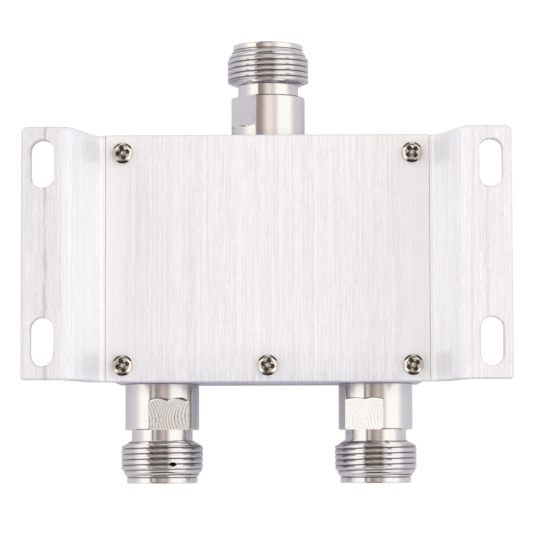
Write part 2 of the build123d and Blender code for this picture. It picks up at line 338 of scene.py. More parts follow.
# %% [markdown]
# ## Bare aluminium
#
# The body was pressed through a die, which leaves fine lines along its length, and was then etched
# until it looks nearly white. The lid was drawn under an abrasive belt in the same direction. Both
# finishes are the same idea: noise that is stretched along one axis, used three times, for a
# little colour, for a little roughness and for a shallow relief. One stretched noise looks like
# combed hair, because all its lines are equally long. A belt leaves long, middling and short
# scratches, so three noises of the same fineness and of different lengths are added up. Object
# coordinates are metres here, so a scale of 1000 is one wave to a millimetre.

# %% Sizes that the marks on the metal follow
housing_low, housing_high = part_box("housing")
lid_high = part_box("lid")[1]
screws_low, screws_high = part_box("lid_screws")
end_y = housing_high.y
ear_top = housing_high.z
ear_edge_x = housing_high.x
lid_half = lid_high.x
lid_top = lid_high.z
slot_x = ear_edge_x - 3.9 * mm
slot_y = end_y - 7.0 * mm
slot_radius = 2.15 * mm
slot_straight = 2.35 * mm
guide_x = 40.83 * mm
guide_shift = 0.17 * mm
head_radius = 1.975 * mm
input_screws_y = screws_high.y - head_radius
output_screws_y = screws_low.y + head_radius
print("lid half width:", round(lid_half / mm, 2), "mm, ear top:", round(ear_top / mm, 2), "mm")


# %% Streaks, and the two ends of the part
grain_lengths = ((26, 0.42), (180, 0.32), (950, 0.26))
noise_low = 0.3
noise_high = 0.7
roughness_swing = 0.06
# Painted shade for the end faces and the skin beside them.
end_edge_shade = (0.90, 0.90, 0.92, 1)
end_face_shade = (0.72, 0.707, 0.795, 1)


def streaks(tree, across, along, detail=3.0):
    """Noise with so many waves to a metre across the grain (X) and along it (Y)."""
    place = add_node(tree, "ShaderNodeTexCoord").outputs["Object"]
    stretch = add_node(tree, "ShaderNodeMapping", {0: place, 3: (across, along, across)})
    noise = add_node(tree, "ShaderNodeTexNoise", {
        "Vector": stretch.outputs[0], "Scale": 1.0, "Detail": detail, "Roughness": 0.6})
    return noise.outputs[0]


def new_material(name):
    """A material with nothing in it but its principled shader."""
    material = bpy.data.materials.new(name)
    material.use_nodes = True
    tree = material.node_tree
    return material, tree, tree.nodes["Principled BSDF"]


def off_the_ends(tree, y):
    """One along the part, and zero on its two sawn end faces."""
    return ramp(tree, unsigned(tree, y), end_y - 0.3 * mm, end_y - 0.2 * mm, 1.0, 0.0)


def painted_end_shade(tree, colour, y):
    """Painted shade: the sawn end faces darker and cooler, and the skin beside them a little."""
    from_middle = unsigned(tree, y)
    beside = ramp(tree, from_middle, end_y - 0.35 * mm, end_y - 0.2 * mm)
    on_face = ramp(tree, from_middle, end_y - 0.06 * mm, end_y - 0.02 * mm)
    return tinted(tree, tinted(tree, colour, end_edge_shade, beside), end_face_shade, on_face)


print("scratch lengths:", [round(1 / waves / mm, 1) for waves, share in grain_lengths], "mm")


# %% Brushed aluminium
def brushed_aluminium(name, dark, light, across, contrast, roughness, relief, marks):
    """Etched or belt-ground aluminium, its lines along Y, its sawn ends darker with painted shade."""
    material, tree, shader = new_material(name)
    grain = 0.0
    for along, share in grain_lengths:
        grain = calc(tree, "MULTIPLY_ADD", streaks(tree, across, along, detail=1.0), share, grain)
    colour = lay_over(tree, dark, light, remap(tree, grain, 0.5 - contrast, 0.5 + contrast, 0, 1))
    x, y, z = split(tree, add_node(tree, "ShaderNodeTexCoord").outputs["Object"])
    colour = marks(tree, painted_end_shade(tree, colour, y), x, y, z)
    rough = remap(
        tree, grain, noise_low, noise_high, roughness - roughness_swing, roughness + roughness_swing)
    bump = add_node(tree, "ShaderNodeBump", {"Strength": 1.0, "Distance": relief, "Height": grain})
    tree.links.new(colour, shader.inputs["Base Color"])
    tree.links.new(rough, shader.inputs["Roughness"])
    tree.links.new(bump.outputs[0], shader.inputs["Normal"])
    shader.inputs["Metallic"].default_value = 0.2
    return material


# %% [markdown]
# ## Marks on the housing and the lid
#
# Use and making leave marks that follow the shape. On the housing: a guide line for the drill runs
# along each ear, blotchy and not quite straight, and crosses the slots. The cutter left a dull rim
# round each slot. A white strip of painted light lies on the housing along each side of the lid,
# over the shade of the seam. Painted shade darkens the left wall, the left ear more than the right
# one and the outer edges of the ears, and painted reflections of the corner screws lie low on the
# walls. On the lid: the output end is duller, with short ticks, and painted light makes the sides
# paler, against the shade of the walls. They could be painted by hand on an unwrapped surface, but
# each is a distance to something, so a mask from the place of the point is exact from any side.

# %% Marks on the housing
guide_tint = (0.75, 0.745, 0.77, 1)
slot_rim_tint = (0.80, 0.765, 0.74, 1)
# Painted reflections of the corner screws in the walls.
screw_reflection_tint = (0.87, 0.865, 0.87, 1)
# Painted shade: the ears' outer edges darker and cooler, the left wall and the left ear darker.
outer_edge_shade = (0.84, 0.85, 0.90, 1)
left_wall_shade = (0.965, 0.965, 0.96, 1)
left_ear_shade = (0.93, 0.92, 0.915, 1)
right_ear_tint = (1.0, 0.985, 0.98, 1)
middle_blur = 5 * mm


def painted_seam_light(tree, x, y, z):
    """Painted light: a white strip on the housing along each side of the lid, over the shade of the seam."""
    beside_lid = minus(tree, unsigned(tree, x), lid_half)
    across = band(tree, beside_lid, -0.2 * mm, -0.1 * mm, 0.5 * mm, 1.0 * mm)
    upright = band(tree, minus(tree, z, lid_top), -0.4 * mm, -0.1 * mm, 0.4 * mm, 1.0 * mm)
    return times(tree, across, upright, off_the_ends(tree, y))


def guide_line(tree, x, blots):
    """The guide line along each ear, blotchy and wandering, fainter on the right."""
    wander = times(tree, minus(tree, streaks(tree, 60, 130), 0.5), 1.3 * mm)
    across = plus(tree, unsigned(tree, plus(tree, x, guide_shift)), wander)
    line = band(tree, across, guide_x - 0.55 * mm, guide_x - 0.1 * mm, guide_x, guide_x + 0.5 * mm)
    blotchy = ramp(tree, blots, 0.4, 0.56, 0.2, 1.0)
    return times(tree, line, blotchy, ramp(tree, x, -middle_blur, middle_blur, 1.0, 0.4))


def screw_reflections(tree, y, z, blots):
    """Painted reflections of the corner screws: dull patches low on the walls, level with the screws."""
    to_input_row = unsigned(tree, minus(tree, y, input_screws_y))
    to_output_row = unsigned(tree, minus(tree, y, output_screws_y))
    from_screws = calc(tree, "MINIMUM", to_input_row, to_output_row)
    low_wall = band(tree, minus(tree, z, lid_top), 0.1 * mm, 0.9 * mm, 6.4 * mm, 10.4 * mm)
    near = times(tree, ramp(tree, from_screws, 1.2 * mm, 3.0 * mm, 1.0, 0.0), low_wall)
    return times(tree, near, remap(tree, blots, 0.35, 0.6, 0.5, 1.0))


def slot_rims(tree, x, y, blots):
    """A broken dull rim round each slot, by the distance to a straight with two round ends."""
    beside_slot = unsigned(tree, minus(tree, unsigned(tree, x), slot_x))
    along_slot = unsigned(tree, minus(tree, unsigned(tree, y), slot_y))
    past_straight = larger(tree, minus(tree, along_slot, slot_straight), 0.0)
    squares = plus(tree, times(tree, beside_slot, beside_slot), times(tree, past_straight, past_straight))
    from_edge = minus(tree, calc(tree, "SQRT", squares), slot_radius)
    rim = ramp(tree, from_edge, 0.1 * mm, 0.32 * mm, 1.0, 0.0)
    return times(tree, rim, remap(tree, blots, 0.42, 0.56, 0.0, 1.0))


def ear_marks(tree, colour, x, y, z):
    """Every mark on the housing, with painted light and shade among them, one over the other."""
    blots = streaks(tree, 1300, 170)
    to_right = ramp(tree, x, -middle_blur, middle_blur)
    on_left = ramp(tree, x, middle_blur, -middle_blur)
    below_ears = ramp(tree, minus(tree, z, ear_top), -5.9 * mm, -2.9 * mm, 1.0, 0.0)
    on_ears = ramp(tree, minus(tree, z, ear_top), -5.9 * mm, -0.4 * mm)
    outer = ramp(tree, unsigned(tree, x), ear_edge_x - 0.45 * mm, ear_edge_x - 0.2 * mm)
    # Painted light: white laid over the shade of the seam beside the lid.
    colour = lay_over(tree, colour, (1, 1, 1, 1), painted_seam_light(tree, x, y, z))
    # Painted shade on the left wall, on the left ear more than the right one, and on the ears' outer edges.
    for tint, mask in (
        (left_wall_shade, times(tree, on_left, below_ears)),
        (lay_over(tree, left_ear_shade, right_ear_tint, to_right), on_ears),
        (guide_tint, guide_line(tree, x, blots)),
        # Painted reflections of the corner screws.
        (screw_reflection_tint, screw_reflections(tree, y, z, blots)),
        (slot_rim_tint, slot_rims(tree, x, y, blots)),
        (outer_edge_shade, outer),
    ):
        colour = tinted(tree, colour, tint, mask)
    return colour


housing_metal = brushed_aluminium(
    "etched_aluminium", dark=(0.80, 0.80, 0.825, 1), light=(0.96, 0.96, 0.98, 1), across=11000,
    contrast=0.05, roughness=0.5, relief=0.002 * mm, marks=ear_marks)
print("housing finish:", len(housing_metal.node_tree.nodes), "nodes")


# %% Marks on the lid
dull_end_tint = (0.93, 0.94, 0.97, 1)
tick_tint = (0.84, 0.83, 0.84, 1)


def lid_marks(tree, colour, x, y, z):
    """The belt left the lid duller at its output end, with short ticks there; painted light makes it paler at
    its sides.
    """
    colour = tinted(tree, colour, dull_end_tint, ramp(tree, y, -15 * mm, -22 * mm))
    by_output_edge = ramp(tree, y, 2.6 * mm - end_y, 0.2 * mm - end_y)
    ticks = times(tree, ramp(tree, streaks(tree, 3200, 260), 0.5, 0.62), by_output_edge)
    colour = tinted(tree, colour, tick_tint, ticks)
    # Painted light: the lid paler towards its sides, against the shade of the walls.
    sides = times(tree, ramp(tree, unsigned(tree, x), 22 * mm, 30 * mm), off_the_ends(tree, y))
    return lay_over(tree, colour, (1, 1, 1, 1), times(tree, sides, 0.6))


lid_metal = brushed_aluminium(
    "brushed_aluminium", dark=(0.815, 0.807, 0.82, 1), light=(0.98, 0.967, 0.985, 1), across=14000,
    contrast=0.05, roughness=0.45, relief=0.002 * mm, marks=lid_marks)
print("lid finish:", len(lid_metal.node_tree.nodes), "nodes")


# %% [markdown]
# ## Plated brass and the rest
#
# Nickel over turned brass mirrors the room, a little softened by turning marks that run round the
# jack. Where a tool left the metal rough, or where dirt gathers, it is duller. In the thread's
# flanks and root, the undercut behind it, the hub's foot, the step at the end of each flat and the
# screws' recesses and shoulders, a darker colour is painted shade. Such places depend on the shape,
# not on a pattern, so the meshes that are made below carry them as numbers on their points, and the
# plating lays a colour and some roughness over itself for each. The mill's lines are finer than the
# mesh. For them the mesh carries only a smooth count of the tool's feeds, and the shader draws a
# line wherever the count is a whole number. The screws are plated steel, darker and warmer. The
# inner pieces are the white sleeve and the gilt socket, seen down each jack, and the circuit, which
# the lid hides.

# %% Plain finishes with a fine grain
def grained(name, dark, light, grain, metallic, roughness):
    """An even finish with a fine grain: colour and roughness follow one noise."""
    material, tree, shader = new_material(name)
    value = streaks(tree, grain, grain)
    colour = lay_over(tree, dark, light, remap(tree, value, noise_low, noise_high, 0, 1))
    rough = remap(tree, value, noise_low, noise_high, roughness * 0.85, roughness * 1.15)
    tree.links.new(colour, shader.inputs["Base Color"])
    tree.links.new(rough, shader.inputs["Roughness"])
    shader.inputs["Metallic"].default_value = metallic
    return material


burnished = grained("burnished_aluminium", (0.93, 0.92, 0.92, 1), (1.0, 0.99, 0.98, 1), 900, 0.3, 0.4)
insulator_white = grained("insulator_white", (0.86, 0.86, 0.84, 1), (0.92, 0.92, 0.9, 1), 900, 0, 0.4)
contact_gold = grained("contact_gold", (0.80, 0.56, 0.22, 1), (0.90, 0.68, 0.32, 1), 1800, 1, 0.22)
solder_tin = grained("solder_tin", (0.62, 0.62, 0.64, 1), (0.76, 0.76, 0.78, 1), 1600, 1, 0.3)
board_laminate = grained("board_laminate", (0.60, 0.53, 0.30, 1), (0.72, 0.66, 0.45, 1), 1400, 0, 0.55)
copper_foil = grained("copper_foil", (0.74, 0.40, 0.25, 1), (0.86, 0.52, 0.36, 1), 1700, 1, 0.35)
resistor_black = grained("resistor_black", (0.03, 0.03, 0.032, 1), (0.09, 0.09, 0.1, 1), 2200, 0, 0.5)
print("materials so far:", len(bpy.data.materials))


# %% Plating with layers
worn_roughness = 0.04
# The flanks' layer, the root layer and the ledge layer are painted shade; the root layer also holds painted
# shade in the undercut and a painted contact shadow at the hub's foot.
jack_layers = (
    ("crest", (0.56, 0.53, 0.515, 1), 0.0),
    ("flank", (0.475, 0.455, 0.45, 1), 0.04),
    ("root", (0.27, 0.25, 0.245, 1), 0.1),
    ("ledge", (0.12, 0.11, 0.11, 1), 0.1),
    ("mill", (0.27, 0.255, 0.245, 1), 0.0),
    ("nick", (0.22, 0.21, 0.21, 1), 0.1),
    ("pit", (0.07, 0.02, 0.01, 1), 0.3),
)
# Both screw layers are painted shade: in the recess, and on the shoulders.
screw_layers = (
    ("recess", (0.085, 0.058, 0.042, 1), 0.3),
    ("soot", (0.012, 0.009, 0.009, 1), 0.3),
)


def own_attribute(tree, name):
    """A number that the piece's mesh carries for each point."""
    return add_node(tree, "ShaderNodeAttribute", attribute_name=name).outputs["Fac"]


def feed_lines(tree):
    """One on a thin line at each whole feed of the mill, zero between the lines."""
    feeds = times(tree, own_attribute(tree, "feeds"), pi)
    return ramp(tree, unsigned(tree, calc(tree, "SINE", feeds)), 0.62, 0.1)


def plated(name, dark, light, roughness, layers, worn="", rings=0.0):
    """Nickel plating: rougher where worn, under layers of dullness, dirt and painted shade, with fine turning
    marks.
    """
    material, tree, shader = new_material(name)
    grain = streaks(tree, 1500, 1500)
    colour = lay_over(tree, dark, light, remap(tree, grain, noise_low, noise_high, 0, 1))
    rough = remap(tree, grain, noise_low, noise_high, roughness * 0.85, roughness * 1.15)
    if worn:
        rough = calc(tree, "MULTIPLY_ADD", own_attribute(tree, worn), worn_roughness, rough, clamp=True)
    for attribute, cover, added_roughness in layers:
        share = own_attribute(tree, attribute)
        if attribute == "mill":
            share = times(tree, share, feed_lines(tree))
        colour = lay_over(tree, colour, cover, share)
        rough = calc(tree, "MULTIPLY_ADD", share, added_roughness, rough, clamp=True)
    tree.links.new(colour, shader.inputs["Base Color"])
    tree.links.new(rough, shader.inputs["Roughness"])
    shader.inputs["Metallic"].default_value = 1
    if rings:
        bump = add_node(tree, "ShaderNodeBump", {"Distance": rings, "Height": streaks(tree, 60, 5200)})
        tree.links.new(bump.outputs[0], shader.inputs["Normal"])
    return material


jack_nickel = plated(
    "jack_nickel", (0.625, 0.60, 0.585, 1), (0.655, 0.63, 0.615, 1), 0.11, jack_layers,
    worn="crest", rings=0.002 * mm)
screw_nickel = plated(
    "screw_nickel", (0.60, 0.54, 0.48, 1), (0.68, 0.62, 0.56, 1), 0.12, screw_layers)
print("plating layers:", [name for name, cover, added in jack_layers + screw_layers])


# %% Give every CAD node its finish
finishes = {
    "housing": housing_metal,
    "lid": lid_metal,
    "board_screws": screw_nickel,
    "lid_screws": screw_nickel,
    "circuit_board": board_laminate,
    "ground_foil": copper_foil,
    "splitter_track": copper_foil,
    "_shell": jack_nickel,
    "_insulator": insulator_white,
    "_contact": contact_gold,
    "_solder": solder_tin,
    "isolation_resistor": resistor_black,
}
for name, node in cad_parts.items():
    finish = next(material for part, material in finishes.items() if part in name)
    node.data.materials.clear()
    node.data.materials.append(finish)
print("finished nodes:", len(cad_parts))


# %% [markdown]
# ## The jacks
#
# A jack shell is turned, so its surface is a profile carried round an axis. Four cuts break the
# round form, and each is a rule about the radius: two wrench flats, which hold the radius under
# 6 mm divided by the cosine of the angle, and end in a small step; the thread, which holds it under
# a ridge that climbs one pitch in each turn; and one tiny pit in the left output jack. Boolean cuts
# could make them, but they leave thin crooked faces where a helix meets a bevel. Here the profile
# is laid out in plain code with its rows where the rules need them, the rows of the thread climb
# with it, and geometry nodes cut the thread.

# %% Sizes of a jack, measured outwards from the housing's end face
hub_radius = 7.175 * mm
hub_length = 8.95 * mm
hub_edge = 0.2 * mm
hub_foot = 0.15 * mm
flat_half = 6.0 * mm
flat_start = 2.75 * mm
scallop = 0.45 * mm
ledge_height = 0.2 * mm
ledge_run = 0.34 * mm
ledge_shadow = 0.16 * mm
neck_radius = 5.9 * mm
thread_start = 10.82 * mm
crest_start = 12.04 * mm
crest_end = 16.38 * mm
crest_radius = 7.94 * mm
lead_in_end = 17.95 * mm
lead_in_radius = 7.03 * mm
rim_radius = 6.88 * mm
undercut = 0.12 * mm
undercut_floor_end = lead_in_end + 0.2 * mm
undercut_end = lead_in_end + 0.3 * mm
rim_edge = 0.25 * mm
mouth = 19.28 * mm
mouth_radius = 4.95 * mm
bore_radius = 4.05 * mm
contact_plane = 10.18 * mm
air_line_radius = 3.5 * mm
insulator_front = 8.98 * mm
insulator_radius = 4.1 * mm
shank_radius = 6.0 * mm
shank_end = -6.3 * mm

thread_pitch = 25.4 / 24 * mm
shoulder_depth = 0.14 * mm
root_depth = 0.08 * mm
crest_half = 0.12
root_half = 0.12
run_out = 0.35 * mm
row_phases = (
    0, 0.04, 0.07, 0.1, 0.125, 0.2, 0.3, 0.37, 0.39, 0.5, 0.61, 0.63, 0.7, 0.8, 0.875, 0.9, 0.93, 0.96)
rows_per_turn = len(row_phases)
columns = 180
print("thread pitch:", round(thread_pitch / mm, 4), "mm, crest:", 2 * crest_radius / mm, "mm across")


# %% The profile: plain rows before and after the thread
bevel_steps = 7


def steps(start, end, count):
    """Points on a line from start, and short of end."""
    return [tuple(np.array(start) + (np.array(end) - start) * i / count) for i in range(count)]


def rows_below_thread(bevel_start):
    """Shank, hub and neck, and the bevel up to the thread, cut in small steps by the threading tool."""
    bevel_rows = []
    for i in range(bevel_steps):
        step_radius = neck_radius + (crest_radius - neck_radius) * i / bevel_steps
        for end in (i, i + 1):
            bevel_rows.append((step_radius, bevel_start + (crest_start - bevel_start) * end / bevel_steps))
    return [
        (insulator_radius, shank_end),
        (shank_radius, shank_end),
        (shank_radius, 0),
        (hub_radius - hub_foot, 0),
        (hub_radius, hub_foot),
        (hub_radius, flat_start - 0.05 * mm),
        *steps((hub_radius, flat_start), (hub_radius, flat_start + 1.5 * scallop), 20),
        *steps((hub_radius, flat_start + 1.5 * scallop), (hub_radius, hub_length - hub_edge), 48),
        (hub_radius, hub_length - hub_edge),
        (hub_radius - hub_edge, hub_length),
        (neck_radius, hub_length),
        *bevel_rows,
    ]


rows_above_thread = [
    (lead_in_radius, lead_in_end),
    (rim_radius - undercut, lead_in_end + 0.05 * mm),
    (rim_radius - undercut, undercut_floor_end),
    (rim_radius, undercut_end),
    (rim_radius, lead_in_end + 0.34 * mm),
    (rim_radius, mouth - rim_edge - 0.04 * mm),
    (rim_radius, mouth - rim_edge),
    (rim_radius - rim_edge * 0.3, mouth - rim_edge * 0.3),
    (rim_radius - rim_edge, mouth),
    (mouth_radius, mouth),
    (bore_radius, mouth - (mouth_radius - bore_radius)),
    (bore_radius, contact_plane),
    (air_line_radius, contact_plane),
    (air_line_radius, insulator_front),
    (insulator_radius, insulator_front),
]
thread_outline = [(crest_start, crest_radius), (crest_end, crest_radius), (lead_in_end, lead_in_radius)]
thread_turns = 4 + int((lead_in_end - crest_start) / thread_pitch)
thread_rows = thread_turns * rows_per_turn
print("rows:", len(rows_below_thread(thread_start)), "+", thread_rows, "+", len(rows_above_thread))


# %% Rows that climb with the thread
first_turn = int(crest_start / thread_pitch) - 1


def thread_point(row, turn, start_turn):
    """Radius and height on one climbing row, held between the two ends of the threaded stretch."""
    turns_made = first_turn + row // rows_per_turn + row_phases[row % rows_per_turn]
    climb = thread_pitch * (turns_made + turn - start_turn)
    height = min(max(climb, crest_start), lead_in_end)
    return float(np.interp(height, *zip(*thread_outline))), height


middle_row = thread_rows // 2
print("a middle row climbs from", round(thread_point(middle_row, 0, 0)[1] / mm, 2),
      "to", round(thread_point(middle_row, 1, 0)[1] / mm, 2), "mm in one turn")


# %% Where the columns of points stand
flat_edge_angle = acos(flat_half / hub_radius)
flat_columns = 60
pit_columns = 12
pit_column_gap = radians(0.6)
flat_angles = [
    atan2(2 * hub_radius * sin(flat_edge_angle) * (i / flat_columns - 0.5), flat_half)
    for i in range(flat_columns + 1)
]


def column_angles(pit_angle):
    """Angles round the jack: even ones, close ones across each flat, and close ones round a pit."""
    angles = {2 * pi * i / columns for i in range(columns)}
    for side in (0, pi):
        near = {a for a in angles if abs((a - side + pi) % (2 * pi) - pi) < flat_edge_angle + radians(1)}
        angles = angles - near | {(side + a) % (2 * pi) for a in flat_angles}
    if pit_angle is not None:
        sideways_columns = range(-pit_columns, pit_columns + 1)
        angles |= {(pit_angle + pit_column_gap * i) % (2 * pi) for i in sideways_columns}
    return sorted(angles)


print("columns round a jack:", len(column_angles(None)))


# %% How flats and pit change the radius
scallop_half = 1.75 * mm
scallop_middles = (-1.7 * mm, 1.75 * mm)
pit_middle = crest_start + 3.55 * mm
pit_half_round = 0.7 * mm
pit_half_along = 0.36 * mm
pit_depth = 0.8 * mm
pit_wall_steepness = 2.5
ledge_curve = 1.6


def flat_end(beside, bow):
    """Where a flat ends towards the housing: two rounds of the cutter, with a cusp between them."""
    from_round = min(abs(beside - middle) for middle in scallop_middles)
    return flat_start + bow * min(1, from_round / scallop_half) ** 2


def hub_point(radius, z, angle, bow):
    """Radius on a plain row once the flats are cut, and how deep in the step's shadow it lies."""
    chord = flat_half / max(abs(cos(angle)), 0.1)
    if not (radius > flat_half and flat_start <= z <= hub_length and chord < radius):
        return radius, 0.0
    past_end = z - flat_end(chord * sin(angle), bow)
    if past_end <= 0:
        return radius, 0.0
    step = ledge_height * max(0, 1 - past_end / ledge_run) ** ledge_curve
    return min(radius, chord + step), max(0, 1 - past_end / ledge_shadow)


def pit_share(angle, z, pit_angle):
    """One inside the oval pit, zero outside, with a steep wall."""
    if pit_angle is None:
        return 0.0
    away = (angle - pit_angle + pi) % (2 * pi) - pi
    inside = 1 - (away * crest_radius / pit_half_round) ** 2
    inside -= ((z - pit_middle) / pit_half_along) ** 2
    return min(1, max(0, inside * pit_wall_steepness))


print("a flat is", round(2 * hub_radius * sin(flat_edge_angle) / mm, 2), "mm wide")


# %% Turn the profile into a closed mesh
def merge_doubles(mesh, within=1e-7):
    """Join points that lie on each other, and drop the faces that this closes up."""
    work = bmesh.new()
    work.from_mesh(mesh)
    bmesh.ops.remove_doubles(work, verts=work.verts, dist=within)
    bmesh.ops.dissolve_degenerate(work, edges=work.edges, dist=within)
    bmesh.ops.recalc_face_normals(work, faces=work.faces)
    open_edges = sum(1 for edge in work.edges if len(edge.link_faces) != 2)
    work.to_mesh(mesh)
    work.free()
    print(mesh.name, "faces:", len(mesh.polygons), "open edges:", open_edges)


def shell_faces(rows, count, first_thread_row, last_thread_row):
    """Faces between rows, joined one turn higher where the climbing rows come round."""
    faces = []
    for row in range(rows):
        ends = [row, (row + 1) % rows]
        for column in range(count):
            beside = list(ends)
            if column == count - 1 and row != rows - 1:
                for i, end in enumerate(ends):
                    if first_thread_row <= end <= last_thread_row:
                        beside[i] = min(end + rows_per_turn, last_thread_row)
            next_column = (column + 1) % count
            faces.append((
                ends[0] * count + column, beside[0] * count + next_column,
                beside[1] * count + next_column, ends[1] * count + column))
    return faces


def turned_shell(name, start_turn, bevel_start, bow, pit_angle=None):
    """The shell on its own axis: Z out of the housing, X at one wrench flat."""
    angles = column_angles(pit_angle)
    lower_rows = rows_below_thread(bevel_start)
    rings = []
    for radius, z in lower_rows:
        for angle in angles:
            r, shadow = hub_point(radius, z, angle, bow)
            rings.append((r, angle, z, 0.0, shadow))
    for row in range(thread_rows):
        for angle in angles:
            r, z = thread_point(row, angle / (2 * pi), start_turn)
            pit = pit_share(angle, z, pit_angle)
            rings.append((r - pit_depth * pit, angle, z, pit, 0.0))
    rings += [(r, angle, z, 0.0, 0.0) for r, z in rows_above_thread for angle in angles]
    points = [(r * cos(angle), r * sin(angle), z) for r, angle, z, pit, shadow in rings]
    first_thread_row = len(lower_rows)
    last_thread_row = first_thread_row + thread_rows - 1
    faces = shell_faces(len(points) // len(angles), len(angles), first_thread_row, last_thread_row)
    mesh = bpy.data.meshes.new(name)
    mesh.from_pydata(points, [], faces)
    for attribute, place in (("pit", 3), ("ledge", 4)):
        values = mesh.attributes.new(attribute, "FLOAT", "POINT").data
        values.foreach_set("value", [ring[place] for ring in rings])
    merge_doubles(mesh)
    shell = bpy.data.objects.new(name, mesh)
    bpy.context.scene.collection.objects.link(shell)
    return shell


# %% [markdown]
# ## Helpers for geometry trees
#
# Each geometry tree below starts and ends alike. It takes a mesh, some named numbers and a
# material. It ends by making copies real, because the export drops them, and by setting the
# material, because a mesh that nodes make has none. A modifier's input is set by its socket's
# identifier, before the tree first runs, and the result is kept as a plain mesh.

# %% Start, mark, end and run a geometry tree
def new_geometry_tree(name, numbers=(), objects=()):
    """A tree that takes a mesh, named numbers and objects, and a material."""
    tree = bpy.data.node_groups.new(name, "GeometryNodeTree")
    tree.interface.new_socket("Geometry", in_out="INPUT", socket_type="NodeSocketGeometry")
    for label, value in dict(numbers).items():
        socket = tree.interface.new_socket(label, in_out="INPUT", socket_type="NodeSocketFloat")
        socket.default_value = value
    for label in objects:
        tree.interface.new_socket(label, in_out="INPUT", socket_type="NodeSocketObject")
    tree.interface.new_socket("Material", in_out="INPUT", socket_type="NodeSocketMaterial")
    tree.interface.new_socket("Geometry", in_out="OUTPUT", socket_type="NodeSocketGeometry")
    return tree, add_node(tree, "NodeGroupInput").outputs


def store_on_points(tree, geometry, numbers):
    """Store named numbers on every point, for the material to read."""
    for name, value in numbers.items():
        stored = add_node(tree, "GeometryNodeStoreNamedAttribute", {
            "Geometry": geometry, "Name": name, "Value": value}, data_type="FLOAT", domain="POINT")
        geometry = stored.outputs[0]
    return geometry


def end_geometry_tree(tree, geometry, material):
    """Make copies real, set the material and send the mesh out."""
    real = add_node(tree, "GeometryNodeRealizeInstances", {0: geometry})
    dressed = add_node(tree, "GeometryNodeSetMaterial", {"Geometry": real.outputs[0], "Material": material})
    add_node(tree, "NodeGroupOutput", {0: dressed.outputs[0]})
    return tree


def run_tree(piece, tree, **inputs):
    """Run a geometry node tree on a piece, and keep the result as its plain mesh."""
    modifier = piece.modifiers.new("nodes", "NODES")
    modifier.node_group = tree
    identifiers = {
        item.name: item.identifier for item in tree.interface.items_tree if item.in_out == "INPUT"}
    for name, value in inputs.items():
        modifier[identifiers[name.replace("_", " ").title()]] = value
    ready = piece.evaluated_get(bpy.context.evaluated_depsgraph_get())
    mesh = bpy.data.meshes.new_from_object(ready)
    piece.modifiers.clear()
    piece.data = mesh
    return piece


def crease(piece, angle):
    """Smooth shading, with edges sharper than the angle kept crisp."""
    piece.data.shade_smooth()
    piece.data.set_sharp_from_angle(angle=radians(angle))


# %% [markdown]
# ### Cutting the thread
#
# On a thread, the height along the axis and the angle round it are tied together: where height
# divided by pitch, less the turns made so far, is a whole number, the tool cut deepest. The tree
# takes a point's place, works out how far it lies between two grooves, and draws the point in: a
# little on the shoulder of a worn thread, and once more in the narrow root. The cut covers both
# bevels and fades out over a short run-out at each end, which keeps it off the hub, the neck and
# the rim. Crest half and root half are shares of a pitch. The crest, the flanks and the root are
# stored on the points: nuts have rubbed the crest, and the tool tore the root, which is rougher. The
# flanks and the root also get painted shade, darker in the root, and the root's share holds painted
# shade in the undercut behind the thread and a painted contact shadow at the hub's foot.

# %% Geometry nodes: thread cutter
thread_sizes = {
    "Pitch": thread_pitch,
    "Shoulder Depth": shoulder_depth,
    "Root Depth": root_depth,
    "Crest Half": crest_half,
    "Root Half": root_half,
    "Thread Start": thread_start + 0.15 * mm,
    "Thread End": lead_in_end,
    "Run Out": run_out,
    "Start Turn": 0.0,
}


def undercut_and_foot_shade(tree, z, radius):
    """Painted shade: one in the undercut behind the thread, and a painted contact shadow, less dark, at the
    hub's foot.
    """
    in_undercut = band(tree, z, lead_in_end, lead_in_end + 0.04 * mm, undercut_floor_end, undercut_end)
    in_undercut = times(tree, in_undercut, calc(tree, "GREATER_THAN", radius, rim_radius - 0.3 * mm))
    outside_hub = calc(tree, "GREATER_THAN", radius, hub_radius - 0.3 * mm)
    foot_shadow = times(tree, ramp(tree, z, 0.2 * mm, 0.05 * mm), outside_hub)
    return larger(tree, in_undercut, times(tree, foot_shadow, 0.8))


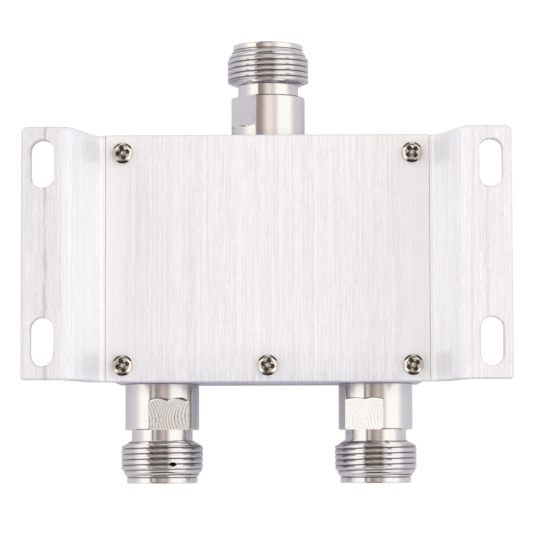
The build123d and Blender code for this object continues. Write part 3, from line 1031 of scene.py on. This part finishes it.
def thread_cutter():
    """A geometry node tree that cuts a right-hand thread into a round surface along Z."""
    tree, given = new_geometry_tree("thread_cutter", thread_sizes)
    x, y, z = split(tree, add_node(tree, "GeometryNodeInputPosition").outputs[0])
    radius = calc(tree, "SQRT", plus(tree, times(tree, x, x), times(tree, y, y)))
    turn = over(tree, calc(tree, "ARCTAN2", y, x), 2 * pi)
    climbed = over(tree, z, given["Pitch"])
    phase = calc(tree, "FRACT", minus(tree, plus(tree, climbed, given["Start Turn"]), turn))
    from_groove = calc(tree, "MINIMUM", phase, minus(tree, 1.0, phase))
    shoulder_half = minus(tree, 0.5, given["Crest Half"])
    into_shoulder = calc(tree, "SUBTRACT", 1.0, over(tree, from_groove, shoulder_half), clamp=True)
    into_root = calc(tree, "SUBTRACT", 1.0, over(tree, from_groove, given["Root Half"]), clamp=True)
    before_end = over(tree, minus(tree, given["Thread End"], z), given["Run Out"], clamp=True)
    past_start = over(tree, minus(tree, z, given["Thread Start"]), given["Run Out"], clamp=True)
    outside = calc(tree, "GREATER_THAN", radius, neck_radius - 0.01 * mm)
    strength = times(tree, before_end, past_start, outside)
    shoulder_cut = times(tree, into_shoulder, given["Shoulder Depth"])
    full_cut = calc(tree, "MULTIPLY_ADD", into_root, given["Root Depth"], shoulder_cut)
    share = minus(tree, 1.0, over(tree, times(tree, full_cut, strength), radius))
    moved = add_node(tree, "ShaderNodeCombineXYZ", {0: times(tree, x, share), 1: times(tree, y, share), 2: z})
    cut = add_node(tree, "GeometryNodeSetPosition", {
        "Geometry": given["Geometry"], "Position": moved.outputs[0]})
    shade_reach = times(tree, strength, ramp(tree, z, thread_start + 0.3 * mm, crest_start))
    in_root = times(tree, ramp(tree, into_root, 0.1, 0.5), shade_reach)
    # The flanks' and the root's shares carry painted shade into the plating.
    marked = store_on_points(tree, cut.outputs[0], {
        "flank": times(tree, ramp(tree, into_shoulder, 0.02, 0.1), shade_reach),
        "crest": times(tree, calc(tree, "LESS_THAN", into_shoulder, 0.02), strength),
        "root": larger(tree, in_root, undercut_and_foot_shade(tree, z, radius)),
    })
    return end_geometry_tree(tree, marked, given["Material"])


cutter = thread_cutter()
print("thread cutter:", len(cutter.nodes), "nodes")


# %% [markdown]
# ### Mill marks on the wrench flats
#
# The flats were milled, and the end of the tool left arcs: on one part of a flat the arcs bulge to
# one side, on the rest to the other. All points of one arc share the same value of place across
# plus or minus the arc's own bulge, so that value, counted in feeds of the tool, gives a row of
# shallow scoops with a sharp line between them. A little noise bends the arcs, so that they don't
# look drawn. The tree draws flat points in by that scoop and stores the count of feeds, from which
# the plating draws the lines. On the input jack the tool also tore small nicks.

# %% Geometry nodes: mill marks
flat_span = hub_length - flat_start
flat_middle = (hub_length + flat_start) / 2
arc_middle = hub_length - 0.3 * flat_span
mill_sizes = {
    "Feed": 0.6 * mm,
    "Scoop": 0.011 * mm,
    "Tool Radius": 5.2 * mm,
    "Split": 1.4 * mm,
    "Lines": 1.0,
    "Nicks": 0.0,
}


def noise_at(tree, place, waves, detail):
    """Even noise at a place, with so many waves to a metre."""
    noise = add_node(tree, "ShaderNodeTexNoise", {"Vector": place, "Scale": waves, "Detail": detail})
    return noise.outputs[0]


def mill_marker():
    """A geometry node tree that scoops arcs into the two flats that face X and -X."""
    tree, given = new_geometry_tree("mill_marker", mill_sizes)
    place = add_node(tree, "GeometryNodeInputPosition").outputs[0]
    x, y, z = split(tree, place)
    bend = minus(tree, noise_at(tree, place, 170.0, 0.5), 0.5)
    wander = times(tree, bend, times(tree, given["Feed"], 3.5))
    from_arc = minus(tree, z, arc_middle)
    tool_square = calc(tree, "POWER", given["Tool Radius"], 2.0)
    bulge = calc(tree, "SQRT", minus(tree, tool_square, calc(tree, "POWER", from_arc, 2.0)))
    turned = calc(tree, "GREATER_THAN", plus(tree, y, wander), given["Split"])
    arcs = add_node(tree, "GeometryNodeSwitch", {
        0: turned, 1: minus(tree, bulge, y), 2: plus(tree, bulge, y)}, input_type="FLOAT")
    feeds = over(tree, plus(tree, arcs.outputs[0], wander), given["Feed"])
    bite = noise_at(tree, place, 300.0, 1.0)
    scoop = unsigned(tree, calc(tree, "SINE", times(tree, feeds, pi)))
    scoop = times(tree, scoop, ramp(tree, bite, 0.35, 0.6, 0.55, 1.5))
    line = times(tree, ramp(tree, bite, 0.38, 0.58, 0.15, 1.0), given["Lines"])
    chips = ramp(tree, noise_at(tree, place, 1100.0, 1.0), 0.5, 0.56)
    nick = times(tree, chips, ramp(tree, y, 1.0 * mm, 3.2 * mm), given["Nicks"])
    out_of_flat = unsigned(tree, minus(tree, unsigned(tree, x), flat_half))
    from_middle = unsigned(tree, minus(tree, z, flat_middle))
    on_hub = calc(tree, "LESS_THAN", from_middle, flat_span / 2 - 0.02 * mm)
    on_flat = times(tree, calc(tree, "LESS_THAN", out_of_flat, 0.002 * mm), on_hub)
    inwards = times(tree, on_flat, calc(tree, "SIGN", x))
    cut = times(tree, times(tree, scoop, given["Scoop"]), inwards)
    offset = add_node(tree, "ShaderNodeCombineXYZ", {0: times(tree, cut, -1.0)})
    scooped = add_node(tree, "GeometryNodeSetPosition", {
        "Geometry": given["Geometry"], "Offset": offset.outputs[0]})
    marked = store_on_points(tree, scooped.outputs[0], {
        "feeds": feeds,
        "mill": times(tree, line, on_flat),
        "nick": times(tree, nick, on_flat),
    })
    return end_geometry_tree(tree, marked, given["Material"])


marker = mill_marker()
print("mill marker:", len(marker.nodes), "nodes")


# %% [markdown]
# ### Three jacks, each a little different
#
# The three shells share one profile, but no two came off the lathe alike, or stopped at the same
# turn when they were screwed in. The value way is 1 at the input end of the housing and -1 at the
# output end, flat_turn is the angle in degrees at which a flat faces, and start_turn says where in
# a turn the groove stands. The bevel behind the thread, the bow of the flat's end and the mill's
# scoops, lines and nicks differ too.

# %% Make the three jacks and set each on its seat
pit_turn = 18
jack_crease = 16
jack_forms = {
    "input_jack": dict(
        way=1, flat_turn=-52, start_turn=0.33, bevel_start=thread_start + 0.35 * mm, bow=scallop,
        scoop=0.011 * mm, lines=0.12, nicks=1.0),
    "output_left_jack": dict(
        way=-1, flat_turn=14, start_turn=0.33, bevel_start=thread_start, bow=scallop,
        scoop=0.011 * mm, lines=1.0, nicks=0.0),
    "output_right_jack": dict(
        way=-1, flat_turn=-23, start_turn=0.13, bevel_start=thread_start, bow=0.22 * mm,
        scoop=0.005 * mm, lines=0.65, nicks=0.0),
}


def facing(turn):
    """A direction across the jack: straight up out of the lid, turned by so many degrees."""
    return Vector((sin(radians(turn)), 0, cos(radians(turn))))


for jack, form in jack_forms.items():
    low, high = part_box(f"{jack}_shell")
    end_face_y = housing_high.y if form["way"] > 0 else housing_low.y
    seat = Vector(((low.x + high.x) / 2, end_face_y, (low.z + high.z) / 2))
    axis = Vector((0, form["way"], 0))
    at_flat = facing(form["flat_turn"])
    beside = axis.cross(at_flat)
    pit_angle = None
    if jack == "output_left_jack":
        to_pit = facing(pit_turn)
        pit_angle = atan2(to_pit.dot(beside), to_pit.dot(at_flat))
    shell = turned_shell(
        f"{jack}_threaded_shell", form["start_turn"], form["bevel_start"], form["bow"], pit_angle)
    run_tree(shell, cutter, start_turn=form["start_turn"], material=jack_nickel)
    run_tree(shell, marker, scoop=form["scoop"], lines=form["lines"], nicks=form["nicks"],
             material=jack_nickel)
    turn = Matrix((at_flat, beside, axis)).transposed().to_4x4()
    shell.data.transform(Matrix.Translation(seat) @ turn)
    shell.data.update()
    crease(shell, jack_crease)
    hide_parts(f"{jack}_shell")
    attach(shell, "root")
    print(shell.name, len(shell.data.polygons), "faces")


# %% [markdown]
# ## The lid screws
#
# Five pan head screws with a cross recess. A head could be turned and then cut with a boolean, but
# its height depends only on how far a point lies from the middle and from the four arms of the
# cross, so one polar grid makes the crown, the recess and the centre mark together. Painted shade
# lies in the recess, darkest on its walls. Geometry nodes then set a copy on each screw's place,
# each with the turn at which it stopped.

# %% The form of a screw head
head_height = 1.35 * mm
crown_slopes = ((0, 0), (0.6, 9), (0.72, 26), (0.90, 44), (0.96, 62), (1.0, 80))
crown_pieces = 200
lobe_middle = 0.93 * mm
lobe_radius = 0.36 * mm
arm_half_width = 0.34 * mm
arm_wall = 0.16 * mm
recess_depth = 0.8 * mm
centre_mark_radius = 0.36 * mm
centre_mark_depth = 0.16 * mm

crown_places = np.linspace(0, 1, crown_pieces + 1)
crown_steepness = np.tan(np.radians(np.interp(crown_places, *zip(*crown_slopes))))
crown_steps = (crown_steepness[1:] + crown_steepness[:-1]) / 2
crown_drop = np.concatenate(([0], np.cumsum(crown_steps))) * head_radius / crown_pieces
print("the crown drops by", round(crown_drop[-1] / mm, 2), "mm")


def recess_share(x, y):
    """One inside the four-armed star, zero outside, with sloping walls."""
    along = np.maximum(abs(x), abs(y))
    across = np.minimum(abs(x), abs(y))
    from_lobe = np.hypot(along - lobe_middle, across) - lobe_radius
    from_arm = np.maximum(across - arm_half_width, along - lobe_middle)
    away = np.minimum(from_lobe, from_arm)
    share = np.clip(0.5 - away / arm_wall, 0, 1)
    return share * share * (3 - 2 * share)


def head_surface(x, y):
    """Height of the head's top at a point, above the lid."""
    along = np.hypot(x, y)
    height = head_height - np.interp(along / head_radius, crown_places, crown_drop)
    bowl = recess_depth * (0.62 + 0.38 * np.clip(along / lobe_middle, 0, 1) ** 2)
    centre_mark = centre_mark_depth * np.clip(1 - along / centre_mark_radius, 0, 1)
    return height - bowl * recess_share(x, y) - centre_mark


def recess_shade_at(x, y):
    """Painted shade on the walls of the recess, and less on its floor, more towards the arms' ends."""
    reach = min(1, hypot(x, y) / lobe_middle)
    share = float(recess_share(x, y))
    wall = 4 * share * (1 - share)
    open_centre = float(np.interp(hypot(x, y), (0.24 * mm, centre_mark_radius), (0.05, 1)))
    return min(0.96, max(0.96 * wall ** 0.6, share * open_centre * (0.5 + 0.3 * reach ** 2)))


def shoulder_at(x, y):
    """One on the shoulder of the head, where its crown turns down."""
    return float(np.interp(hypot(x, y) / head_radius, (0.78, 0.85, 0.96, 1.0), (0, 1, 1, 0.5)))


# %% One screw head
head_crease = 40
ring_crowding = 0.9


def head_mesh(name, rings=44, spokes=112):
    """The head as rings round its middle, down to the lid, and closed underneath."""
    radii = head_radius * np.linspace(0, 1, rings + 1)[1:] ** ring_crowding
    angles = 2 * pi * np.arange(spokes) / spokes
    points = [(0, 0, float(head_surface(0.0, 0.0)))]
    for radius in radii:
        x = radius * np.cos(angles)
        y = radius * np.sin(angles)
        points += list(zip(x, y, head_surface(x, y)))
    foot = len(points)
    points += [(head_radius * cos(a), head_radius * sin(a), 0) for a in angles]
    points.append((0, 0, 0))
    faces = [(0, 1 + i, 1 + (i + 1) % spokes) for i in range(spokes)]
    for ring in range(rings):
        inner = 1 + ring * spokes
        outer = inner + spokes
        for i in range(spokes):
            j = (i + 1) % spokes
            faces.append((inner + i, outer + i, outer + j, inner + j))
    faces += [(len(points) - 1, foot + (i + 1) % spokes, foot + i) for i in range(spokes)]
    mesh = bpy.data.meshes.new(name)
    mesh.from_pydata(points, [], faces)
    clean_foot = [0.0] * (len(points) - foot)
    # The recess attribute carries painted shade.
    for attribute, rule in (("recess", recess_shade_at), ("rim", shoulder_at)):
        values = mesh.attributes.new(attribute, "FLOAT", "POINT").data
        values.foreach_set("value", [rule(x, y) for x, y, z in points[:foot]] + clean_foot)
    return mesh


head = bpy.data.objects.new("screw_head", head_mesh("screw_head"))
crease(head, head_crease)
print("screw head faces:", len(head.data.polygons))


# %% [markdown]
# ### Painted shade on the screws' shoulders
#
# Painted shade sits on three sides of each head's shoulder, the same sides on all five, whichever way
# the cross points. Painted on the one head that is copied, it would turn with the copies. So the tree
# works it out after it has turned and set them, from the way that each point of the shoulder faces.

# %% Geometry nodes: a screw on each point
def shoulder_shade_sides(tree):
    """One where a point faces half ahead to either side, or straight back towards the output end."""
    nx, ny = split(tree, add_node(tree, "GeometryNodeInputNormal").outputs[0])[:2]
    around = calc(tree, "DEGREES", calc(tree, "ARCTAN2", unsigned(tree, nx), ny))
    return larger(tree, band(tree, around, 8, 22, 58, 68), ramp(tree, around, 140, 152))


def screw_setter():
    """Set a copy of a screw on every point, turned by the point's own angle."""
    tree, given = new_geometry_tree("screw_setter", objects=("Screw",))
    screw = add_node(tree, "GeometryNodeObjectInfo", {"Object": given["Screw"]})
    angle = add_node(tree, "GeometryNodeInputNamedAttribute", {"Name": "turn"}, data_type="FLOAT")
    turn = add_node(tree, "ShaderNodeCombineXYZ", {2: angle.outputs[0]})
    copies = add_node(tree, "GeometryNodeInstanceOnPoints", {
        "Points": given["Geometry"], "Instance": screw.outputs["Geometry"], "Rotation": turn.outputs[0]})
    real = add_node(tree, "GeometryNodeRealizeInstances", {0: copies.outputs[0]})
    rim = add_node(tree, "GeometryNodeInputNamedAttribute", {"Name": "rim"}, data_type="FLOAT").outputs[0]
    # Painted shade on the shoulders, by the way that each point faces.
    marked = store_on_points(tree, real.outputs[0], {"soot": times(tree, rim, shoulder_shade_sides(tree))})
    return end_geometry_tree(tree, marked, given["Material"])


left = screws_low.x + head_radius
right_side = screws_high.x - head_radius
screw_stops = [
    (left, input_screws_y, 12),
    (right_side, input_screws_y, 40),
    (left, output_screws_y, 17),
    (0.0, output_screws_y, 75),
    (right_side, output_screws_y, 28),
]
stops_mesh = bpy.data.meshes.new("lid_screw_heads")
stops_mesh.from_pydata([(x, y, lid_top) for x, y, turn in screw_stops], [], [])
turns = stops_mesh.attributes.new("turn", "FLOAT", "POINT")
turns.data.foreach_set("value", [radians(turn) for x, y, turn in screw_stops])
lid_screw_heads = bpy.data.objects.new("lid_screw_heads", stops_mesh)
bpy.context.scene.collection.objects.link(lid_screw_heads)
run_tree(lid_screw_heads, screw_setter(), screw=head, material=screw_nickel)
bpy.data.objects.remove(head)
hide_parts("lid_screws")
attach(lid_screw_heads, "root")
print("screws set:", len(screw_stops))


# %% [markdown]
# ## The bright line along each side of the lid
#
# The abrasive belt that dressed the lid also ran along the feet of the ears, and turned up a fine
# bright burr beside each seam. A painted line would stay flat when it is seen from low down. It is
# a thin bead, half sunk, carried along a straight line.

# %% Geometry nodes: a bead along a line
burr_crease = 60


def bead_maker():
    """A half-sunk round bead along each edge of a mesh."""
    tree, given = new_geometry_tree("bead_maker", {"Radius": 0.1 * mm})
    line = add_node(tree, "GeometryNodeMeshToCurve", {0: given["Geometry"]})
    ring = add_node(tree, "GeometryNodeCurvePrimitiveCircle", {"Resolution": 12, "Radius": given["Radius"]})
    swept = add_node(tree, "GeometryNodeCurveToMesh", {
        "Curve": line.outputs[0], "Profile Curve": ring.outputs[0], "Fill Caps": True})
    return end_geometry_tree(tree, swept.outputs[0], given["Material"])


burr_x = lid_half + 0.34 * mm
burr_y = end_y - 0.3 * mm
burr_z = lid_top - 0.02 * mm
burr_ends = [(side * burr_x, end * burr_y, burr_z) for side in (-1, 1) for end in (-1, 1)]
burr_mesh = bpy.data.meshes.new("seam_burrs")
burr_mesh.from_pydata(burr_ends, [(0, 1), (2, 3)], [])
seam_burrs = bpy.data.objects.new("seam_burrs", burr_mesh)
bpy.context.scene.collection.objects.link(seam_burrs)
run_tree(seam_burrs, bead_maker(), material=burnished)
crease(seam_burrs, burr_crease)
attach(seam_burrs, "root")
print("burr faces:", len(seam_burrs.data.polygons))


# %% Measure the two boxes
visual_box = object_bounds()
boxes = {"cad": cad_box, "visual": visual_box}
